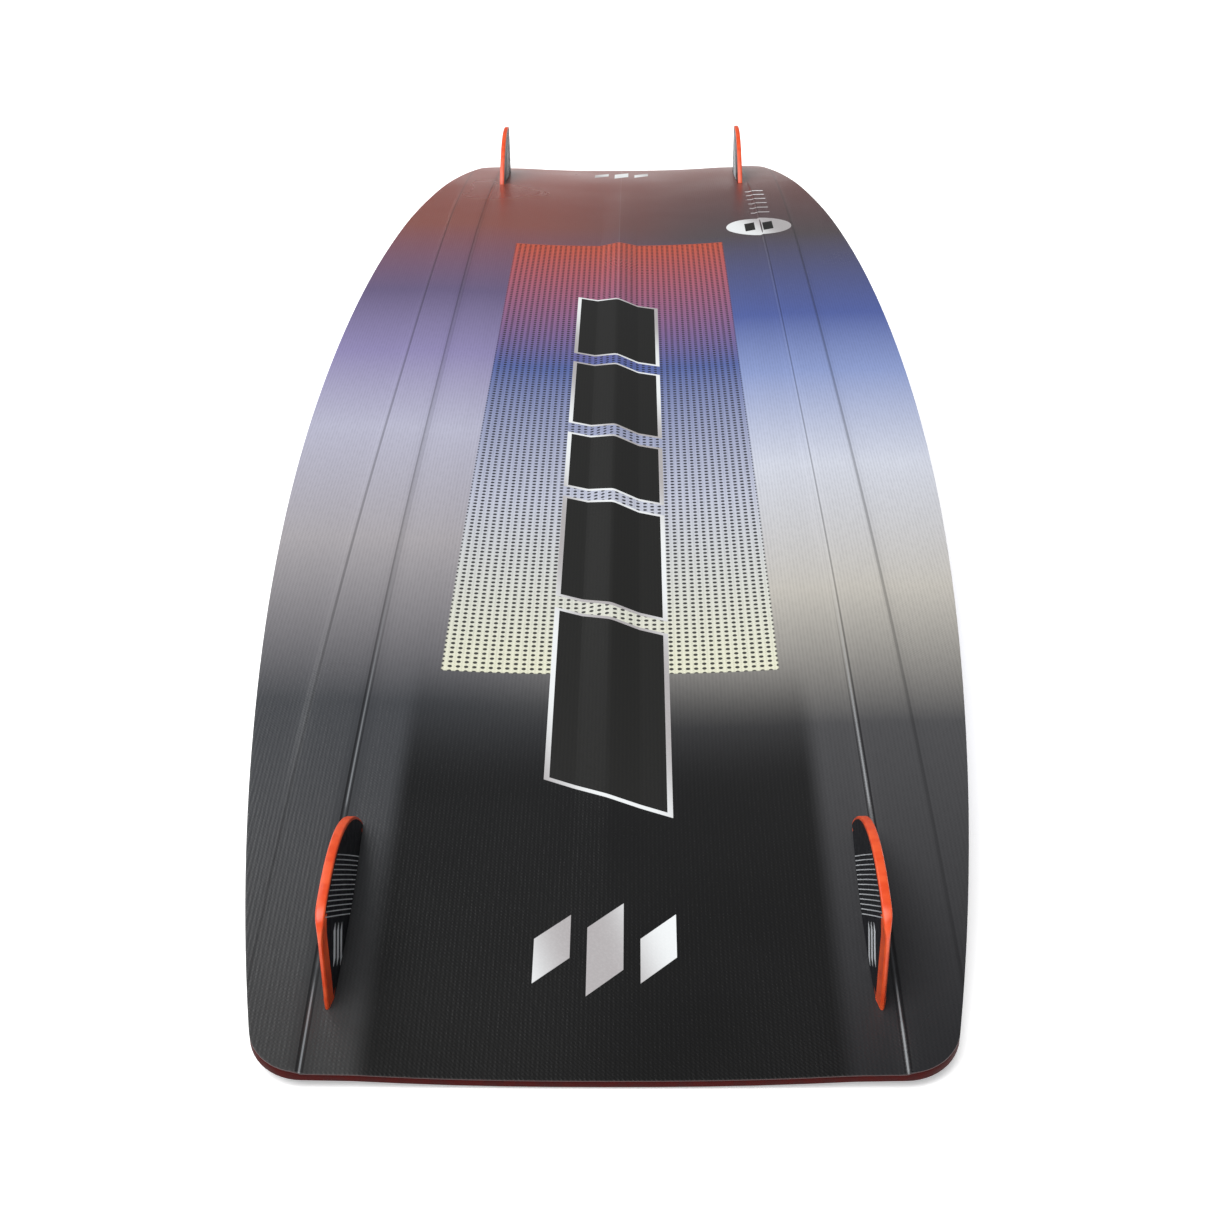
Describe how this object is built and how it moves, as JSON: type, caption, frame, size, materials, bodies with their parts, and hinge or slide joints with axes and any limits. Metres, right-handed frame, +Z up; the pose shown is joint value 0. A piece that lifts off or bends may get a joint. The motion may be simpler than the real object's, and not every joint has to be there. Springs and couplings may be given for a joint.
{
  "type": "twin-tip kiteboard",
  "caption": "Twin-tip kiteboard lying base up on its tips: wood core, laminates, printed sheets, rails, bolted corner fins, deck inserts and a grab handle.",
  "frame": {"origin": "on the floor, under the middle of the board, which lies deck side down on its two tips", "axes": "+Z up, out of the running base; Y along the board, with the tip nearest the picture's viewer at -Y; X across it"},
  "size_m": [0.415, 1.38, 0.0661],
  "materials": {
    "printed_sheet": "printed film under a satin clear coat, with a fine woven texture",
    "glass_laminate": "cured glass cloth",
    "wood": "planed strips",
    "rail": "sanded dark red plastic",
    "fin": "orange moulded edge round black printed faces",
    "steel": "stainless, turned",
    "insert": "machined",
    "handle": "moulded, matt"
  },
  "bodies": {
    "root": {"base_sheet": "printed_sheet", "bottom_laminate": "glass_laminate", "wood_core": "wood", "top_laminate": "glass_laminate", "top_sheet": "printed_sheet", "rail_left": "rail", "rail_right": "rail", "fin_near_left": "fin", "fin_near_left_1_screw": "steel", "fin_near_left_1_washer": "steel", "fin_near_left_2_screw": "steel", "fin_near_left_2_washer": "steel", "fin_near_right": "fin", "fin_near_right_1_screw": "steel", "fin_near_right_1_washer": "steel", "fin_near_right_2_screw": "steel", "fin_near_right_2_washer": "steel", "fin_far_left": "fin", "fin_far_left_1_screw": "steel", "fin_far_left_1_washer": "steel", "fin_far_left_2_screw": "steel", "fin_far_left_2_washer": "steel", "fin_far_right": "fin", "fin_far_right_1_screw": "steel", "fin_far_right_1_washer": "steel", "fin_far_right_2_screw": "steel", "fin_far_right_2_washer": "steel", "binding_insert_near_left_1": "insert", "binding_insert_near_left_2": "insert", "binding_insert_near_left_3": "insert", "binding_insert_near_right_1": "insert", "binding_insert_near_right_2": "insert", "binding_insert_near_right_3": "insert", "binding_insert_far_left_1": "insert", "binding_insert_far_left_2": "insert", "binding_insert_far_left_3": "insert", "binding_insert_far_right_1": "insert", "binding_insert_far_right_2": "insert", "binding_insert_far_right_3": "insert", "grab_handle": "handle", "handle_near_screw": "steel", "handle_near_washer": "steel", "handle_insert_near": "insert", "handle_far_screw": "steel", "handle_far_washer": "steel", "handle_insert_far": "insert"}
  },
  "joints": []
}
